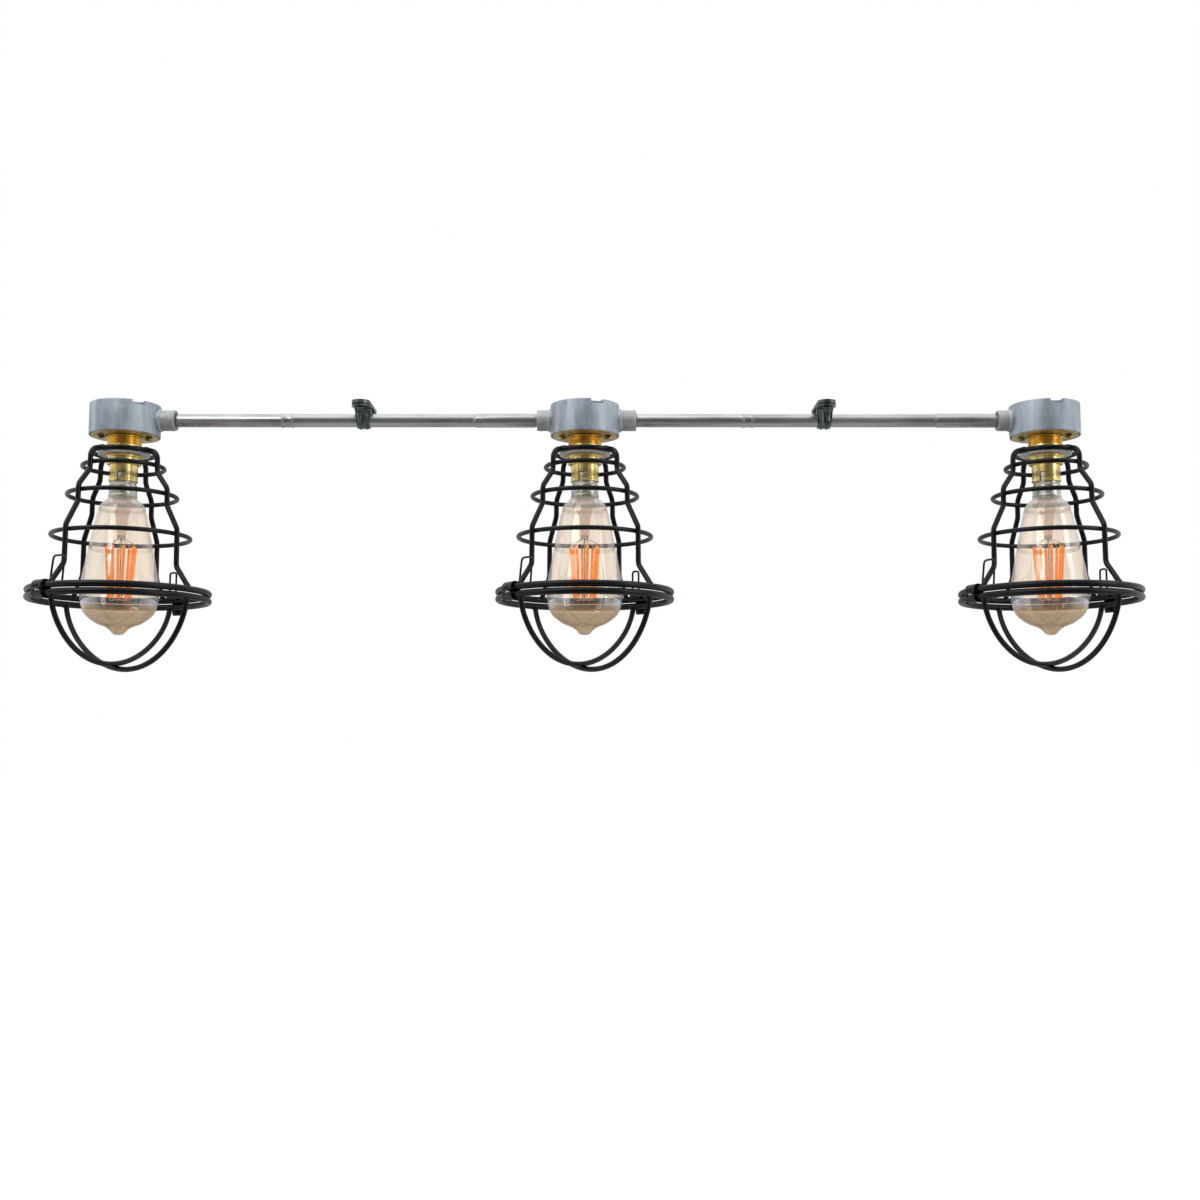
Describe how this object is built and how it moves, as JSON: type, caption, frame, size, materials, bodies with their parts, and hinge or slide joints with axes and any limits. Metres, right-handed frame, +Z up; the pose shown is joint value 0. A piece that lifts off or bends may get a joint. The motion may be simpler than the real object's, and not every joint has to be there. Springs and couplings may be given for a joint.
{
  "type": "caged bayonet lamp light bar",
  "caption": "Ceiling light bar of caged bayonet lamps on round conduit boxes joined by straight conduit runs.",
  "frame": {"origin": "centre of the middle conduit box's flat back face, which lies on the ceiling", "axes": "+Z up into the ceiling, +X along the bar towards the right-hand lamp, -Y towards the room"},
  "size_m": [0.9724, 0.1568, 0.2358],
  "materials": {
    "galvanised_box": "galvanised",
    "conduit_steel": "galvanised satin",
    "polished_brass": "polished",
    "brass_screw": "polished",
    "contact_brass": "plain",
    "white_plastic": "translucent",
    "insulator": "matte",
    "black_wire": "satin gloss",
    "black_sheet": "satin gloss",
    "dark_saddle": "gloss",
    "cap_metal": "satin",
    "amber_glass": "amber tinted",
    "filament": "plain",
    "cable": "plain"
  },
  "bodies": {
    "fixture": {"left_conduit_box": "galvanised_box", "left_cover_plate": "polished_brass", "left_plate_screw_a": "brass_screw", "left_plate_screw_b": "brass_screw", "left_lampholder": "polished_brass", "left_insulator_core": "insulator", "left_shade_ring": "white_plastic", "left_clamp_ring": "polished_brass", "left_cage_frame": "black_wire", "left_hinge_clip": "black_sheet", "centre_conduit_box": "galvanised_box", "centre_cover_plate": "polished_brass", "centre_plate_screw_a": "brass_screw", "centre_plate_screw_b": "brass_screw", "centre_lampholder": "polished_brass", "centre_insulator_core": "insulator", "centre_shade_ring": "white_plastic", "centre_clamp_ring": "polished_brass", "centre_cage_frame": "black_wire", "centre_hinge_clip": "black_sheet", "right_conduit_box": "galvanised_box", "right_cover_plate": "polished_brass", "right_plate_screw_a": "brass_screw", "right_plate_screw_b": "brass_screw", "right_lampholder": "polished_brass", "right_insulator_core": "insulator", "right_shade_ring": "white_plastic", "right_clamp_ring": "polished_brass", "right_cage_frame": "black_wire", "right_hinge_clip": "black_sheet", "left_conduit": "conduit_steel", "left_wire_bundle": "cable", "left_saddle_base": "dark_saddle", "left_saddle_strap": "dark_saddle", "right_conduit": "conduit_steel", "right_wire_bundle": "cable", "right_saddle_base": "dark_saddle", "right_saddle_strap": "dark_saddle"},
    "left_plunger_a": {"left_contact_plunger_a": "contact_brass"},
    "left_plunger_b": {"left_contact_plunger_b": "contact_brass"},
    "left_door": {"left_cage_door": "black_wire"},
    "left_latch_lever": {"left_latch": "black_sheet"},
    "left_bulb": {"left_bulb_cap": "cap_metal", "left_bulb_glass": "amber_glass", "left_bulb_mount": "filament"},
    "centre_plunger_a": {"centre_contact_plunger_a": "contact_brass"},
    "centre_plunger_b": {"centre_contact_plunger_b": "contact_brass"},
    "centre_door": {"centre_cage_door": "black_wire"},
    "centre_latch_lever": {"centre_latch": "black_sheet"},
    "centre_bulb": {"centre_bulb_cap": "cap_metal", "centre_bulb_glass": "amber_glass", "centre_bulb_mount": "filament"},
    "right_plunger_a": {"right_contact_plunger_a": "contact_brass"},
    "right_plunger_b": {"right_contact_plunger_b": "contact_brass"},
    "right_door": {"right_cage_door": "black_wire"},
    "right_latch_lever": {"right_latch": "black_sheet"},
    "right_bulb": {"right_bulb_cap": "cap_metal", "right_bulb_glass": "amber_glass", "right_bulb_mount": "filament"}
  },
  "joints": [
    {"name": "left_bulb_turn", "type": "hinge", "parent": "fixture", "child": "left_bulb", "pos_m": [-0.408, 0, -0.0625], "axis": [0, 0, 1], "range_deg": [-20, 0]},
    {"name": "left_plunger_a_slide", "type": "slide", "parent": "fixture", "child": "left_plunger_a", "axis": [0, 0, 1], "range_m": [0, 0.003], "stiffness_N_per_m": 1500, "springref_m": -0.002},
    {"name": "left_plunger_b_slide", "type": "slide", "parent": "fixture", "child": "left_plunger_b", "axis": [0, 0, 1], "range_m": [0, 0.003], "stiffness_N_per_m": 1500, "springref_m": -0.002},
    {"name": "left_door_hinge", "type": "hinge", "parent": "fixture", "child": "left_door", "pos_m": [-0.45344, -0.0603, -0.1732], "axis": [-0.7986, 0.6018, 0], "range_deg": [0, 100]},
    {"name": "left_latch_pivot", "type": "hinge", "parent": "fixture", "child": "left_latch_lever", "pos_m": [-0.38033, 0.07025, -0.167], "axis": [0.9304, -0.3665, 0], "range_deg": [0, 20], "stiffness_Nm_per_rad": 0.2, "springref_deg": -8.59},
    {"name": "centre_bulb_turn", "type": "hinge", "parent": "fixture", "child": "centre_bulb", "pos_m": [0, 0, -0.0625], "axis": [0, 0, 1], "range_deg": [-20, 0]},
    {"name": "centre_plunger_a_slide", "type": "slide", "parent": "fixture", "child": "centre_plunger_a", "axis": [0, 0, 1], "range_m": [0, 0.003], "stiffness_N_per_m": 1500, "springref_m": -0.002},
    {"name": "centre_plunger_b_slide", "type": "slide", "parent": "fixture", "child": "centre_plunger_b", "axis": [0, 0, 1], "range_m": [0, 0.003], "stiffness_N_per_m": 1500, "springref_m": -0.002},
    {"name": "centre_door_hinge", "type": "hinge", "parent": "fixture", "child": "centre_door", "pos_m": [-0.06185, -0.04331, -0.1732], "axis": [-0.5736, 0.8192, 0], "range_deg": [0, 100]},
    {"name": "centre_latch_pivot", "type": "hinge", "parent": "fixture", "child": "centre_latch_lever", "pos_m": [0.04802, 0.05826, -0.167], "axis": [0.7716, -0.6361, 0], "range_deg": [0, 20], "stiffness_Nm_per_rad": 0.2, "springref_deg": -8.59},
    {"name": "right_bulb_turn", "type": "hinge", "parent": "fixture", "child": "right_bulb", "pos_m": [0.408, 0, -0.0625], "axis": [0, 0, 1], "range_deg": [-20, 0]},
    {"name": "right_plunger_a_slide", "type": "slide", "parent": "fixture", "child": "right_plunger_a", "axis": [0, 0, 1], "range_m": [0, 0.003], "stiffness_N_per_m": 1500, "springref_m": -0.002},
    {"name": "right_plunger_b_slide", "type": "slide", "parent": "fixture", "child": "right_plunger_b", "axis": [0, 0, 1], "range_m": [0, 0.003], "stiffness_N_per_m": 1500, "springref_m": -0.002},
    {"name": "right_door_hinge", "type": "hinge", "parent": "fixture", "child": "right_door", "pos_m": [0.3358, -0.02207, -0.1732], "axis": [-0.2924, 0.9563, 0], "range_deg": [0, 100]},
    {"name": "right_latch_pivot", "type": "hinge", "parent": "fixture", "child": "right_latch_lever", "pos_m": [0.47168, 0.04057, -0.167], "axis": [0.5373, -0.8434, 0], "range_deg": [0, 20], "stiffness_Nm_per_rad": 0.2, "springref_deg": -8.59}
  ]
}
